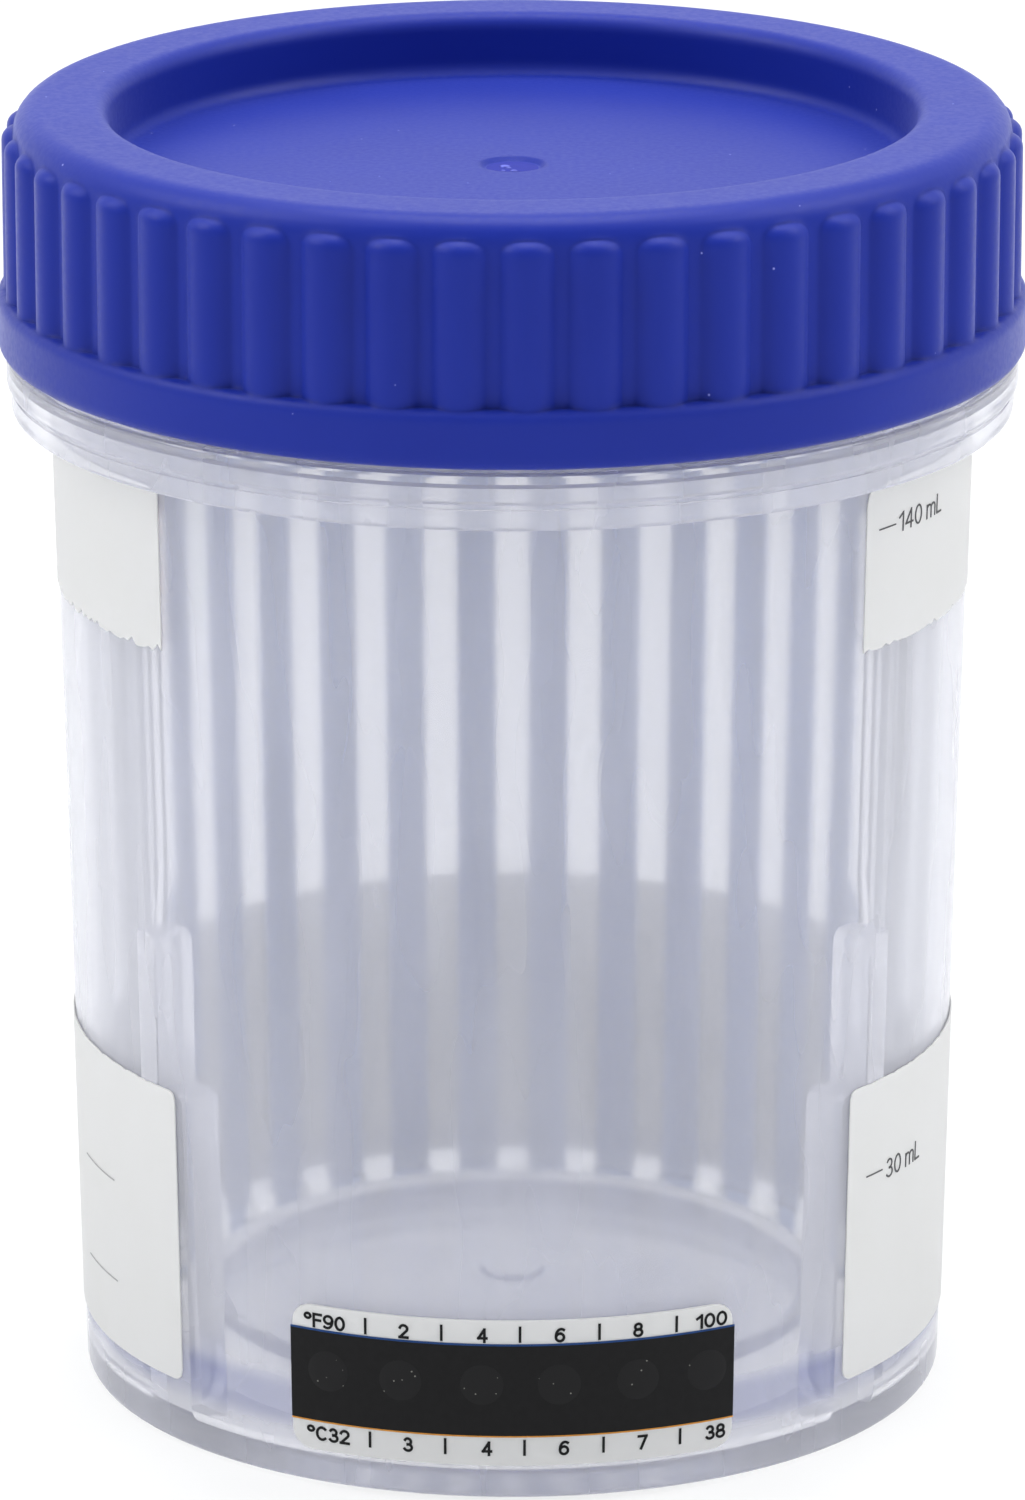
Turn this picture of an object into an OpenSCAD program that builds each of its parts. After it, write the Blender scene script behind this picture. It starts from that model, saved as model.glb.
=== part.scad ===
// Drug test cup: a translucent specimen cup with a screw lid. A curved carrier inside the
// rear wall holds a row of test strips, two film labels wrap the sides and the back, and a
// temperature strip sits low on the front.
// Millimetres, +Z up. The origin is the centre of the standing ring, on the ground.
// The temperature strip faces -Y and the row of test strips faces +Y.

/* [Cup] */
// Outer radius of the side wall at the ground
foot_r = 29; // [28:0.1:30]
// Growth of the wall's radius for each millimetre of height
draft = 0.022; // [0.01:0.001:0.03]
// Thickness of the side wall
wall_t = 1.3; // [1:0.05:1.5]
// Height of the rim above the ground
cup_h = 84.3; // [82:0.1:90]
// Thickness of the floor
floor_t = 1.5; // [1.2:0.1:1.8]
// Width of the gutter between the side wall and the raised middle of the floor
gutter_w = 5.5; // [4:0.1:7]
// Height of the raised middle of the floor above the ground
plateau_h = 5.6; // [5:0.1:8]
// How far the side of the raised floor flares out towards its foot
plateau_flare = 1.1; // [0.6:0.1:1.6]
// Rounding of the outer edge on the ground
foot_round = 0.5; // [0.3:0.1:1]
// Rounding of the inner corner between floor and wall
inner_round = 1.2; // [0.6:0.1:1.4]
// Radius of the moulding gate's mark in the floor and in the lid
gate_r = 2.2; // [1.5:0.1:3]

/* [Collar] */
// Radial reach of the collar beyond the neck
collar_reach = 3.05; // [2.8:0.05:3.4]
// Height of the collar's upper ring
upper_ring_h = 2.1; // [1.6:0.1:2.6]
// Height of the collar's lower ring
lower_ring_h = 1.4; // [1:0.1:2]
// Height of the step between the two rings
ring_step_h = 0.35; // [0.2:0.05:0.6]
// How far the lower ring stands back from the upper one
ring_inset = 0.3; // [0.1:0.05:0.5]
// Depth of the step between the two rings
ring_step_d = 0.25; // [0.1:0.05:0.4]
// Thickness of the collar's plate and of its hanging skirt
collar_t = 1.2; // [0.9:0.1:1.5]

/* [Neck and thread] */
// Height of the rim above the collar's top face
neck_h = 13.6; // [12:0.1:16]
// Thickness of the neck's wall
neck_t = 1.2; // [1:0.05:1.5]
// Rise of the thread in one turn
lead = 4; // [3.6:0.1:4.6]
// Depth of the thread
thread_d = 1; // [0.7:0.05:1.2]
// Height of the thread's ridge at its root
thread_root_w = 2; // [1.6:0.1:2.2]
// Height of the thread's ridge at its crest
thread_crest_w = 1; // [0.6:0.1:1.2]
// Turns of thread on the neck
neck_turns = 1.25; // [1:0.05:1.5]
// Turns of thread inside the lid
lid_turns = 0.85; // [0.6:0.05:1]
// Height of the neck thread's start above the collar
thread_rise = 4.3; // [4:0.1:5]

/* [Lid] */
// Thickness of the lid's roof over the rim
roof_t = 1.5; // [1.2:0.1:2]
// Thickness of the lid's skirt between two ribs
skirt_t = 1.1; // [0.9:0.05:1.4]
// How far a rib stands out of the skirt
rib_proud = 0.75; // [0.5:0.05:0.85]
// Radius of a rib's round face
rib_r = 2.3; // [1.8:0.1:2.4]
// Number of ribs
rib_count = 48; // [36:1:48]
// Angle from the front to the first rib when the lid is closed
rib_turn = 1.65; // [0:0.05:7.5]
// Height of the smooth band at the lid's lower edge
band_h = 3.8; // [2.5:0.1:4.5]
// How far the band stands out beyond the ribs
band_proud = 0.4; // [0.2:0.05:0.6]
// Rounding of the lid's top edge
lid_round = 1.7; // [1:0.1:2]
// Height from the ribs' tops to the lid's top
rib_drop = 1.4; // [1:0.1:2.5]
// Rounding of a rib's top end
rib_round = 0.9; // [0.5:0.1:1.2]
// Thickness of the wall between the recess and the cup's bore
plug_t = 2.35; // [1.8:0.05:2.8]
// Thickness of the plug's lip, which reaches down into the bore
lip_t = 1.3; // [1:0.05:1.6]
// Depth of the recess in the lid's top
recess_h = 4.2; // [3:0.1:5]
// Rounding of the recess at its rim
recess_round = 1; // [0.5:0.1:1.2]
// Rounding between the recess's wall and its floor
recess_fillet = 0.8; // [0.4:0.1:1.2]
// Thickness of the plate under the recess
plate_t = 1.5; // [1.2:0.1:2]
// Length of the plug below that plate
plug_h = 1.5; // [1:0.1:2.5]
// Thickness of the sealing ring
gasket_t = 1.2; // [0.8:0.1:1.6]

/* [Strip carrier] */
// Number of channels side by side in the carrier
channel_count = 22; // [14:2:22]
// Number of channels that hold a test strip, in the middle of the row
strip_count = 12; // [2:2:12]
// Angle from one channel to the next
channel_pitch = 11; // [10:0.1:11]
// Radial thickness of the carrier
carrier_t = 2.2; // [1.8:0.1:2.4]
// Thickness of the carrier's skin behind the strips
carrier_skin = 0.85; // [0.6:0.05:1]
// Depth of the carrier's top edge below the collar's top face
carrier_drop = 2.2; // [1:0.1:6]
// Height of the carrier's plain head above the channels
carrier_head = 4.5; // [3:0.5:8]
// Height of the wick windows between the carrier's feet
wick_h = 2.8; // [2:0.1:4]

/* [Test strips] */
// Width of one test strip
strip_w = 2.7; // [2.2:0.1:2.8]
// Gap between a strip's top end and the head of its channel
strip_drop = 4.2; // [1:0.1:10]
// Thickness of the backing card
card_t = 0.3; // [0.2:0.05:0.4]
// Thickness of the membrane
membrane_t = 0.15; // [0.1:0.05:0.2]
// Thickness of the two pads
pad_t = 0.7; // [0.5:0.05:0.8]
// Length of the sample pad
sample_pad_l = 17; // [12:0.5:20]
// Length of the absorbent pad
top_pad_l = 17; // [12:0.5:20]
// How far each pad laps over the membrane
pad_lap = 1.5; // [1:0.1:3]

/* [Rails] */
// Width of the low rail beside each end of the carrier
rail_w = 4.4; // [3:0.1:5]
// Width of the upper tab of the rail
tab_w = 2.1; // [1.5:0.1:2.5]
// Height of the low rail's top above the ground
rail_z = 24.5; // [20:0.5:28]
// Height of the tab's top above the ground
tab_z = 35; // [30:0.5:40]

/* [Labels] */
// Angle that the film labels wrap round the cup
label_wrap = 263; // [240:1:270]
// Thickness of the label film
label_t = 0.12; // [0.1:0.01:0.2]
// Height of the lower label's bottom edge
lower_label_z = 4.6; // [3:0.1:8]
// Height of the lower label
lower_label_h = 20.4; // [15:0.1:24]
// Height of the upper label
upper_label_h = 11.5; // [8:0.1:16]
// Width of the temperature strip
temp_w = 28.8; // [24:0.1:32]
// Height of the temperature strip
temp_h = 10.1; // [8:0.1:12]
// Height of the temperature strip's lower edge
temp_z = 2.5; // [2:0.1:6]
// Thickness of the temperature strip
temp_t = 0.25; // [0.2:0.05:0.4]

/* [Clearances] */
// Radial clearance of the lid on the thread, the neck and the bore
lid_clear = 0.3; // [0.25:0.05:0.35]
// Gap between the lid's lower edge and the collar
lid_gap = 0.3; // [0.2:0.1:0.6]
// Gap between the loaded flanks of the two threads
flank_gap = 0.3; // [0.25:0.05:0.4]
// Gap round the carrier and the pads
carrier_clear = 0.3; // [0.25:0.05:0.4]
// Gap between a strip's edge and its channel
strip_clear = 0.1; // [0.08:0.01:0.15]
// Gap between the glued films and the wall
film_clear = 0.05; // [0.02:0.01:0.08]
// Gap between the upper label and the collar
label_gap = 0.35; // [0.2:0.05:1]

/* [Hidden] */
fine = 180;
small = 40;
rim_round = 0.3;
lid_bottom_round = 0.6;
rib_sink = 0.5;
cut = 1;
thread_steps = 48;
thread_sink = 0.4;
thread_run_out = 25;
gate_h = 0.25;
temp_corner = 1.3;
rail_corner = 0.8;
foot_ease = 0.1;
tilt = atan(draft);

function wall_out(z) = foot_r + draft * z;
function wall_in(z) = wall_out(z) - wall_t;
function arc(r, z, radius, from, to, n = 6) =
    [for (i = [0:n]) let (a = from + (to - from) * i / n) [r + radius * cos(a), z + radius * sin(a)]];

// The raised floor leaves a gutter along the wall
plateau_r = wall_in(floor_t) - gutter_w - plateau_flare;

// The collar hangs below its top face, ring under ring
collar_z = cup_h - neck_h;
step_z = collar_z - upper_ring_h;
lower_ring_z = step_z - ring_step_h;
skirt_z = lower_ring_z - lower_ring_h;
bore_r = wall_in(collar_z);
neck_r = bore_r + neck_t;
upper_ring_r = neck_r + collar_reach;
lower_ring_r = upper_ring_r - ring_inset;
step_r = lower_ring_r - ring_step_d;
crest_r = neck_r + thread_d;

// The lid is built outwards from the neck and upwards from the rim
skirt_in_r = crest_r + lid_clear;
skirt_r = skirt_in_r + skirt_t;
rib_crest_r = skirt_r + rib_proud;
band_r = rib_crest_r + band_proud;
plug_r = bore_r - lid_clear;
recess_r = plug_r - plug_t;
lid_z = collar_z + lid_gap;
roof_z = cup_h + gasket_t;
lid_top = roof_z + roof_t;
recess_z = lid_top - recess_h;
plate_z = recess_z - plate_t;
plug_z = plate_z - plug_h;
band_z = lid_z + band_h;
lid_thread_shift = thread_root_w / 2 + thread_crest_w / 2 + flank_gap - lead;

// The carrier follows the wall, and its channels open towards the wall
function carrier_out(z) = wall_in(z) - carrier_clear;
function carrier_in(z) = carrier_out(z) - carrier_t;
channel_r = carrier_in(0) + carrier_skin;
channel_w = strip_w + 2 * strip_clear;
carrier_wrap = channel_count * channel_pitch;
carrier_z = floor_t;
carrier_top = collar_z - carrier_drop;
channel_top = carrier_top - carrier_head;
carrier_foot_round = inner_round + foot_ease;
strip_z = floor_t + carrier_clear;
strip_l = channel_top - strip_drop - strip_z;
first_strip = (channel_count - strip_count) / 2;
function channel_angle(i) = (i - (channel_count - 1) / 2) * channel_pitch;

// The rails stand beside the two ends of the carrier, measured from the front
rail_mid_r = wall_in(rail_z) - carrier_t / 2;
rail_end = 180 - carrier_wrap / 2 - asin(2 * carrier_clear / rail_mid_r);

window_z = lower_label_z + lower_label_h;
upper_label_top = skirt_z - label_gap;
upper_label_z = upper_label_top - upper_label_h;

function pad2(i) = str(i < 10 ? "0" : "", i);
function strip_names(stem) = [for (i = [1:strip_count]) str(stem, "_", pad2(i))];

// A helical ridge on a wall, with its ends run out into the wall
module thread_ridge(root_r, crest, z0, turns) {
    steps = ceil(turns * thread_steps);
    span = 360 * turns;
    outward = crest > root_r;
    buried = outward ? root_r - thread_sink : root_r + thread_sink;
    start_r = (root_r + buried) / 2;
    points = [for (i = [0:steps])
        let (a = span * i / steps, z = z0 + lead * a / 360,
            k = min(1, a / thread_run_out, (span - a) / thread_run_out),
            r = start_r + (crest - start_r) * k)
        each [for (p = [[buried, -thread_root_w / 2], [r, -thread_crest_w / 2],
                        [r, thread_crest_w / 2], [buried, thread_root_w / 2]])
            [p[0] * cos(a), p[0] * sin(a), z + p[1]]]];
    sides = [for (i = [0:steps - 1]) for (j = [0:3]) let (k = (j + 1) % 4)
        [4 * i + j, 4 * i + k, 4 * i + 4 + k, 4 * i + 4 + j]];
    caps = [[3, 2, 1, 0], [for (j = [0:3]) 4 * steps + j]];
    faces = [for (f = concat(sides, caps)) outward ? f : [for (j = [3:-1:0]) f[j]]];
    polyhedron(points, faces, convexity = 6);
}

function cup_profile() = let (
    cavity_r = plateau_r - floor_t,
    under_z = plateau_h - floor_t,
    edge = foot_round)
    concat(
        [[0, under_z], [cavity_r, under_z]],
        arc(cavity_r + plateau_flare + edge, edge, edge, 180, 270),
        arc(foot_r - foot_round, foot_round, foot_round, -90, 0),
        [[wall_out(collar_z - collar_t), collar_z - collar_t],
         [lower_ring_r - collar_t, collar_z - collar_t],
         [lower_ring_r - collar_t, skirt_z]],
        arc(lower_ring_r - rim_round, skirt_z + rim_round, rim_round, -90, 0, 3),
        [[lower_ring_r, lower_ring_z], [step_r, lower_ring_z], [step_r, step_z]],
        arc(upper_ring_r - rim_round, step_z + rim_round, rim_round, -90, 0, 3),
        arc(upper_ring_r - rim_round, collar_z - rim_round, rim_round, 0, 90, 3),
        [[neck_r, collar_z]],
        arc(neck_r - rim_round, cup_h - rim_round, rim_round, 0, 90, 3),
        arc(bore_r + rim_round, cup_h - rim_round, rim_round, 90, 180, 3),
        [[bore_r, collar_z]],
        arc(wall_in(floor_t + inner_round) - inner_round, floor_t + inner_round, inner_round, 0, -90),
        [[plateau_r + plateau_flare, floor_t]],
        arc(plateau_r - foot_round, plateau_h - foot_round, foot_round, 0, 90),
        [[gate_r, plateau_h], [gate_r - gate_h, plateau_h + gate_h], [0, plateau_h + gate_h]]);

// One rail: a low block with a narrower tab on top, against the carrier's end
module rail(side) {
    outline = concat(
        [[0, floor_t], [rail_w, floor_t]],
        arc(rail_w - rail_corner, rail_z - rail_corner, rail_corner, 0, 90, 4),
        [[tab_w, rail_z]],
        arc(tab_w - rail_corner, tab_z - rail_corner, rail_corner, 0, 90, 4),
        [[0, tab_z]]);
    intersection() {
        rotate_extrude($fn = fine)
            polygon([[carrier_in(0), floor_t / 2], [wall_out(0) - wall_t / 2, floor_t / 2],
                     [wall_out(tab_z) - wall_t / 2, tab_z + cut], [carrier_in(tab_z), tab_z + cut]]);
        mirror([side < 0 ? 1 : 0, 0, 0])
            rotate([0, 0, rail_end])
            rotate([90, 0, 0])
            mirror([1, 0, 0])
            linear_extrude(wall_out(tab_z + cut))
            polygon(outline);
    }
}

module cup_body() {
    color("lavender", 0.5) {
        rotate_extrude($fn = fine) polygon(cup_profile());
        thread_ridge(neck_r, crest_r, collar_z + thread_rise, neck_turns);
        rail(-1);
        rail(1);
    }
}

// A rib of the lid's grip: the outer sector of an upright post with a rounded top end
module lid_rib() {
    post_h = lid_top - rib_drop - rib_round - band_z;
    half = acos(1 - (rib_proud + rib_sink) / rib_r);
    rotate([0, 0, -half])
        rotate_extrude(angle = 2 * half, $fn = small)
        polygon(concat([[0, -rib_sink], [rib_r, -rib_sink]],
            arc(rib_r - rib_round, post_h, rib_round, 0, 90), [[0, post_h + rib_round]]));
}

module lid() {
    outside = concat(
        [[0, lid_z]],
        arc(band_r - lid_bottom_round, lid_z + lid_bottom_round, lid_bottom_round, -90, 0, 4),
        arc(band_r - lid_bottom_round, band_z - lid_bottom_round, lid_bottom_round, 0, 90, 4),
        [[skirt_r, band_z]],
        arc(skirt_r - lid_round, lid_top - lid_round, lid_round, 0, 90),
        arc(recess_r + recess_round, lid_top - recess_round, recess_round, 90, 180),
        arc(recess_r - recess_fillet, recess_z + recess_fillet, recess_fillet, 0, -90, 4),
        [[gate_r, recess_z], [gate_r - gate_h, recess_z - gate_h],
         [0, recess_z - gate_h]]);
    inside = [
        [0, lid_z - cut], [skirt_in_r + cut, lid_z - cut], [skirt_in_r, lid_z + rim_round],
        [skirt_in_r, roof_z], [plug_r, roof_z], [plug_r, plug_z + 2 * rim_round],
        [plug_r - rim_round, plug_z], [plug_r - lip_t, plug_z], [plug_r - lip_t, plate_z], [0, plate_z]];
    color("mediumblue") {
        difference() {
            union() {
                rotate_extrude($fn = fine) polygon(outside);
                for (i = [0:rib_count - 1])
                    rotate([0, 0, i * 360 / rib_count + rib_turn - 90])
                    translate([rib_crest_r - rib_r, 0, band_z])
                    lid_rib();
            }
            rotate_extrude($fn = fine) polygon(inside);
        }
        thread_ridge(skirt_in_r, neck_r + lid_clear, collar_z + thread_rise + lid_thread_shift, lid_turns);
    }
}

module lid_gasket() {
    color("whitesmoke")
        rotate_extrude($fn = fine)
        polygon([[plug_r + lid_clear, cup_h], [skirt_in_r - lid_clear, cup_h],
                 [skirt_in_r - lid_clear, roof_z], [plug_r + lid_clear, roof_z]]);
}

// Places its children on the floor of a channel: X across, Y outwards, Z up along the wall
module in_channel(i) {
    rotate([0, 0, channel_angle(i)])
        translate([0, channel_r, 0])
        rotate([-tilt, 0, 0])
        children();
}

module strip_carrier() {
    foot = carrier_foot_round;
    section = concat(
        [[carrier_in(carrier_z), carrier_z]],
        [[carrier_out(carrier_z) - foot, carrier_z], [carrier_out(carrier_z + foot), carrier_z + foot]],
        [[carrier_out(carrier_top), carrier_top], [carrier_in(carrier_top), carrier_top]]);
    color("lavender", 0.6)
        difference() {
            rotate([0, 0, 90 - carrier_wrap / 2])
                rotate_extrude(angle = carrier_wrap, $fn = fine)
                polygon(section);
            for (i = [0:channel_count - 1])
                in_channel(i) {
                    translate([-channel_w / 2, 0, -cut])
                        cube([channel_w, carrier_t + cut, channel_top + cut]);
                    translate([-channel_w / 2, -carrier_t, -cut])
                        cube([channel_w, 2 * carrier_t, carrier_z + wick_h + cut]);
                }
        }
}

module backing_card(i) {
    color("lightsteelblue")
        in_channel(first_strip + i)
        translate([-strip_w / 2, 0, strip_z])
        cube([strip_w, card_t, strip_l]);
}

module membrane(i) {
    length = strip_l - sample_pad_l - top_pad_l + 2 * pad_lap;
    color("white")
        in_channel(first_strip + i)
        translate([-strip_w / 2, card_t, strip_z + sample_pad_l - pad_lap])
        cube([strip_w, membrane_t, length]);
}

// A pad on the card; its last stretch laps over the membrane and is thinner by that much
module pad(from, length, lap_from) {
    difference() {
        translate([-strip_w / 2, card_t, from])
            cube([strip_w, pad_t, length]);
        translate([-strip_w / 2 - cut, card_t - cut, lap_from])
            cube([strip_w + 2 * cut, membrane_t + cut, pad_lap + cut]);
    }
}

module sample_pad(i) {
    color("ivory")
        in_channel(first_strip + i)
        pad(strip_z, sample_pad_l, strip_z + sample_pad_l - pad_lap);
}

module absorbent_pad(i) {
    from = strip_z + strip_l - top_pad_l;
    color("palegreen")
        in_channel(first_strip + i)
        pad(from, top_pad_l, from - cut);
}

// A band of film on the outside of the wall, round the back of the cup
module label(z0, z1) {
    inner = film_clear;
    outer = film_clear + label_t;
    color("white")
        rotate([0, 0, 90 - label_wrap / 2])
        rotate_extrude(angle = label_wrap, $fn = fine)
        polygon([[wall_out(z0) + inner, z0], [wall_out(z0) + outer, z0],
                 [wall_out(z1) + outer, z1], [wall_out(z1) + inner, z1]]);
}

module label_upper() {
    label(upper_label_z, upper_label_top);
}

module label_lower() {
    label(lower_label_z, window_z);
}

module temperature_strip() {
    z1 = temp_z + temp_h;
    z2 = z1 + cut;
    half = temp_w / 2 - temp_corner;
    outline = concat(
        arc(-half, temp_z + temp_corner, temp_corner, 180, 270, 5),
        arc(half, temp_z + temp_corner, temp_corner, 270, 360, 5),
        arc(half, z1 - temp_corner, temp_corner, 0, 90, 5),
        arc(-half, z1 - temp_corner, temp_corner, 90, 180, 5));
    color("black")
        intersection() {
            rotate_extrude($fn = fine)
                polygon([[wall_out(0) + film_clear, 0], [wall_out(0) + film_clear + temp_t, 0],
                         [wall_out(z2) + film_clear + temp_t, z2], [wall_out(z2) + film_clear, z2]]);
            rotate([90, 0, 0])
                linear_extrude(2 * foot_r)
                polygon(outline);
        }
}

cup_body();
lid();
lid_gasket();
strip_carrier();
label_upper();
label_lower();
temperature_strip();
for (i = [0:strip_count - 1]) {
    backing_card(i);
    sample_pad(i);
    membrane(i);
    absorbent_pad(i);
}
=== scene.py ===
# %% [markdown]
# # A drug test cup, dressed for the camera
# The solids come packed in one shared frame, in metres, with +Z up and the test row at the
# back (+Y). This lesson gives them their finishes, adds the torn films, the print and the
# coloured tapes that only a picture needs, and sets up a small photo studio around them.

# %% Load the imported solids
import math

import bpy
import numpy as np
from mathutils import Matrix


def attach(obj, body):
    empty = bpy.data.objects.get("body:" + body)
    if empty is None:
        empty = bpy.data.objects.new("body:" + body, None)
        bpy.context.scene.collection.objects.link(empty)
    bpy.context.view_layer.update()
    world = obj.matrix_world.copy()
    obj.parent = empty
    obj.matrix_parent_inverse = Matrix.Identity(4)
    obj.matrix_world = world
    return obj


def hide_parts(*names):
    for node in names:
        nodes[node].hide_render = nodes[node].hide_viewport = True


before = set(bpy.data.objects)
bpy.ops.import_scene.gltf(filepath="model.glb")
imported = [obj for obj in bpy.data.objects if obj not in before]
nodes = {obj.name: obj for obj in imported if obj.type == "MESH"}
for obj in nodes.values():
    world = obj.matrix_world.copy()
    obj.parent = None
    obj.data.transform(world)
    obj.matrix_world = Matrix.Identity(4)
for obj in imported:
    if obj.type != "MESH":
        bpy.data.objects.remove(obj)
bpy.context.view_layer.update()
print("solids:", len(nodes))

# %% [markdown]
# ## Sizes
# The solids already hold the sizes. What is drawn on the wall needs the wall's own shape:
# a cone that grows 0.022 mm in radius for each millimetre of height. Lengths are written in
# millimetres, and MM turns them into metres. Angles are in degrees from the front (-Y),
# growing to the right.

# %% Sizes of the wall, the films and the channels
MM = 0.001
FOOT_R, DRAFT = 29.0, 0.022
FILM_IN, FILM_OUT = 0.05, 0.13
STRIP_OUT = 0.30
LABEL_END = 48.5
UPPER_LABEL = (55.0, 66.5)
LOWER_LABEL = (4.6, 25.0)
CHANNEL_R, CHANNEL_PITCH, STRIP_COUNT = 26.05, 11.0, 12


def wall_r(z):
    """Outer radius of the cup's wall at height z: foot radius plus draft times height."""
    return FOOT_R + DRAFT * z


def on_wall(angle, z, lift=0.0):
    """Points on the wall at an angle from the front and a height z, lifted off the wall:
    x = r sin a, y = -r cos a, with r the wall's radius at z plus the lift."""
    a, z = np.broadcast_arrays(np.radians(angle), z)
    r = wall_r(z) + lift
    return np.stack([r * np.sin(a), -r * np.cos(a), z], axis=-1)


print("wall radius at the foot and under the collar:", wall_r(0), wall_r(66.5))

# %% [markdown]
# ## Helpers for meshes
# A film is two grids of points, one for each face, sewn together round their edge. That
# keeps every piece closed, so that it has an inside, however thin it is.

# %% Grids, films and pieces
def grid_faces(rows, cols):
    """Quads between neighbouring rows and columns of a grid of points, as index arrays."""
    i, j = np.meshgrid(np.arange(rows - 1), np.arange(cols - 1), indexing="ij")
    k = i * cols + j
    return np.stack([k, k + 1, k + cols + 1, k + cols], -1).reshape(-1, 4)


def film(outer, inner):
    """A closed film from two grids of the same size: outer face, inner face and the four
    edges between them."""
    rows, cols = outer.shape[:2]
    count = rows * cols
    front = grid_faces(rows, cols)
    index = np.arange(count).reshape(rows, cols)
    rim = np.concatenate([index[0, :-1], index[:-1, -1], index[-1, :0:-1], index[:0:-1, 0]])
    after = np.roll(rim, -1)
    edge = np.stack([after, rim, rim + count, after + count], -1)
    points = np.concatenate([outer.reshape(-1, 3), inner.reshape(-1, 3)])
    return points, np.concatenate([front, front[:, ::-1] + count, edge])


def new_piece(name, points, faces, finish, body, smooth=False):
    """A mesh object from points in millimetres and faces, riding on a body of the part."""
    mesh = bpy.data.meshes.new(name)
    in_metres = np.asarray(points).reshape(-1, 3) * MM
    mesh.from_pydata(in_metres.tolist(), [], np.asarray(faces).tolist())
    if smooth:
        mesh.shade_smooth()
    mesh.materials.append(finish)
    made = bpy.data.objects.new(name, mesh)
    bpy.context.scene.collection.objects.link(made)
    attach(made, body)
    return made


def wall_patch(a0, a1, z0, z1, inner, outer, step=1.5):
    """A closed patch on the wall between two angles and two heights, as points and faces."""
    cols = max(2, int(math.ceil((a1 - a0) / step)) + 1)
    a, z = np.meshgrid(np.linspace(a0, a1, cols), np.array([z0, z1]))
    return film(on_wall(a, z, outer), on_wall(a, z, inner))


def joined(parts):
    """One set of points and faces from several, with the later faces' numbers moved on."""
    points, faces, start = [], [], 0
    for p, f in parts:
        points.append(p)
        faces.append(np.asarray(f) + start)
        start += len(p)
    return np.concatenate(points), np.concatenate(faces)


print("a patch of 10 degrees has", len(wall_patch(0, 10, 0, 1, 0, 0.1)[1]), "faces")

# %% [markdown]
# ## Helpers for materials
# Colours are picked as sRGB hex codes, the way a screen shows them, but light is added up in
# linear values, so one function turns the codes round. One more adds a node, with its
# settings and links in a single line.

# %% Colours and nodes
def hex_linear(code):
    """Turns an sRGB hex colour into linear light, channel by channel, with alpha 1."""
    c = np.array([int(code[i:i + 2], 16) for i in (0, 2, 4)]) / 255
    linear = np.where(c <= 0.04045, c / 12.92, ((c + 0.055) / 1.055) ** 2.4)
    return (*linear.tolist(), 1.0)


def add(tree, kind, settings=None, **sockets):
    """Adds a shader node. settings are the node's own properties, and each socket takes a
    value or another node's output. Spaces in a socket's name are written as _, and _0, _1
    and so on name a socket by its place."""
    made = tree.nodes.new("ShaderNode" + kind)
    for name, value in (settings or {}).items():
        setattr(made, name, value)
    for name, value in sockets.items():
        place = name[1:]
        socket = made.inputs[int(place) if place.isdigit() else name.replace("_", " ")]
        if isinstance(value, bpy.types.NodeSocket):
            tree.links.new(value, socket)
        else:
            socket.default_value = value
    return made


def new_material(name):
    """An empty node material, its tree, its output's surface socket and Object coordinates."""
    made = bpy.data.materials.new(name)
    made.use_nodes = True
    tree = made.node_tree
    tree.nodes.clear()
    surface = add(tree, "OutputMaterial").inputs["Surface"]
    return made, tree, surface, add(tree, "TexCoord").outputs["Object"]


def per_mm(size):
    """A texture's scale for features of a size in millimetres, on coordinates in metres."""
    return 1.0 / (size * MM)


# A noise texture's values lie mostly between these two, so they are spread from there.
NOISE_SPAN = {"_1": 0.3, "_2": 0.7}


print("mid grey in linear light:", round(hex_linear("808080")[0], 3))

# %% [markdown]
# ## Camera
# The picture was taken from a little above the lid with a long lens, so the camera stands
# 0.6 m in front of the cup and looks down about 17 degrees.

# %% Camera
FRAME_H = 1500
FOCAL_PX = 9430.0
LOOK_DOWN = 0.2946
camera = bpy.data.objects.new("camera", bpy.data.cameras.new("camera"))
bpy.context.scene.collection.objects.link(camera)
camera.data.sensor_width = 36.0
camera.data.lens = FOCAL_PX * camera.data.sensor_width / FRAME_H
camera.location = (0.0, -0.6055, 0.2262)
camera.rotation_euler = (math.pi / 2 - LOOK_DOWN, 0.0, 0.0)
camera.data.clip_start, camera.data.clip_end = 0.01, 50.0
bpy.context.scene.camera = camera
print("lens:", round(camera.data.lens, 1), "mm")

# %% [markdown]
# ## Studio
# Most of the light comes from above, so the lid's top is paler than its skirt. The floor is
# white card that also glows a little for the camera, so that it photographs white and still
# takes the cup's shadow. Mirrors and clear plastic see the same white surround.

# %% World and floor
def seen_directly(tree):
    """1 for camera, glossy and transmission rays, and 0 for the rays that carry light."""
    path = add(tree, "LightPath")
    first = add(tree, "Math", {"operation": "MAXIMUM"}, _0=path.outputs["Is Camera Ray"],
                _1=path.outputs["Is Glossy Ray"])
    return add(tree, "Math", {"operation": "MAXIMUM"}, _0=first.outputs[0],
               _1=path.outputs["Is Transmission Ray"]).outputs[0]


world = bpy.data.worlds.new("studio")
bpy.context.scene.world = world
world.use_nodes = True
tree = world.node_tree
tree.nodes.clear()
sky = add(tree, "Background", Color=hex_linear("f4f6fa"), Strength=0.52)
white = add(tree, "Background", Color=(1, 1, 1, 1), Strength=1.0)
both = add(tree, "MixShader", _0=seen_directly(tree), _1=sky.outputs[0], _2=white.outputs[0])
add(tree, "OutputWorld", Surface=both.outputs[0])

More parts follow.
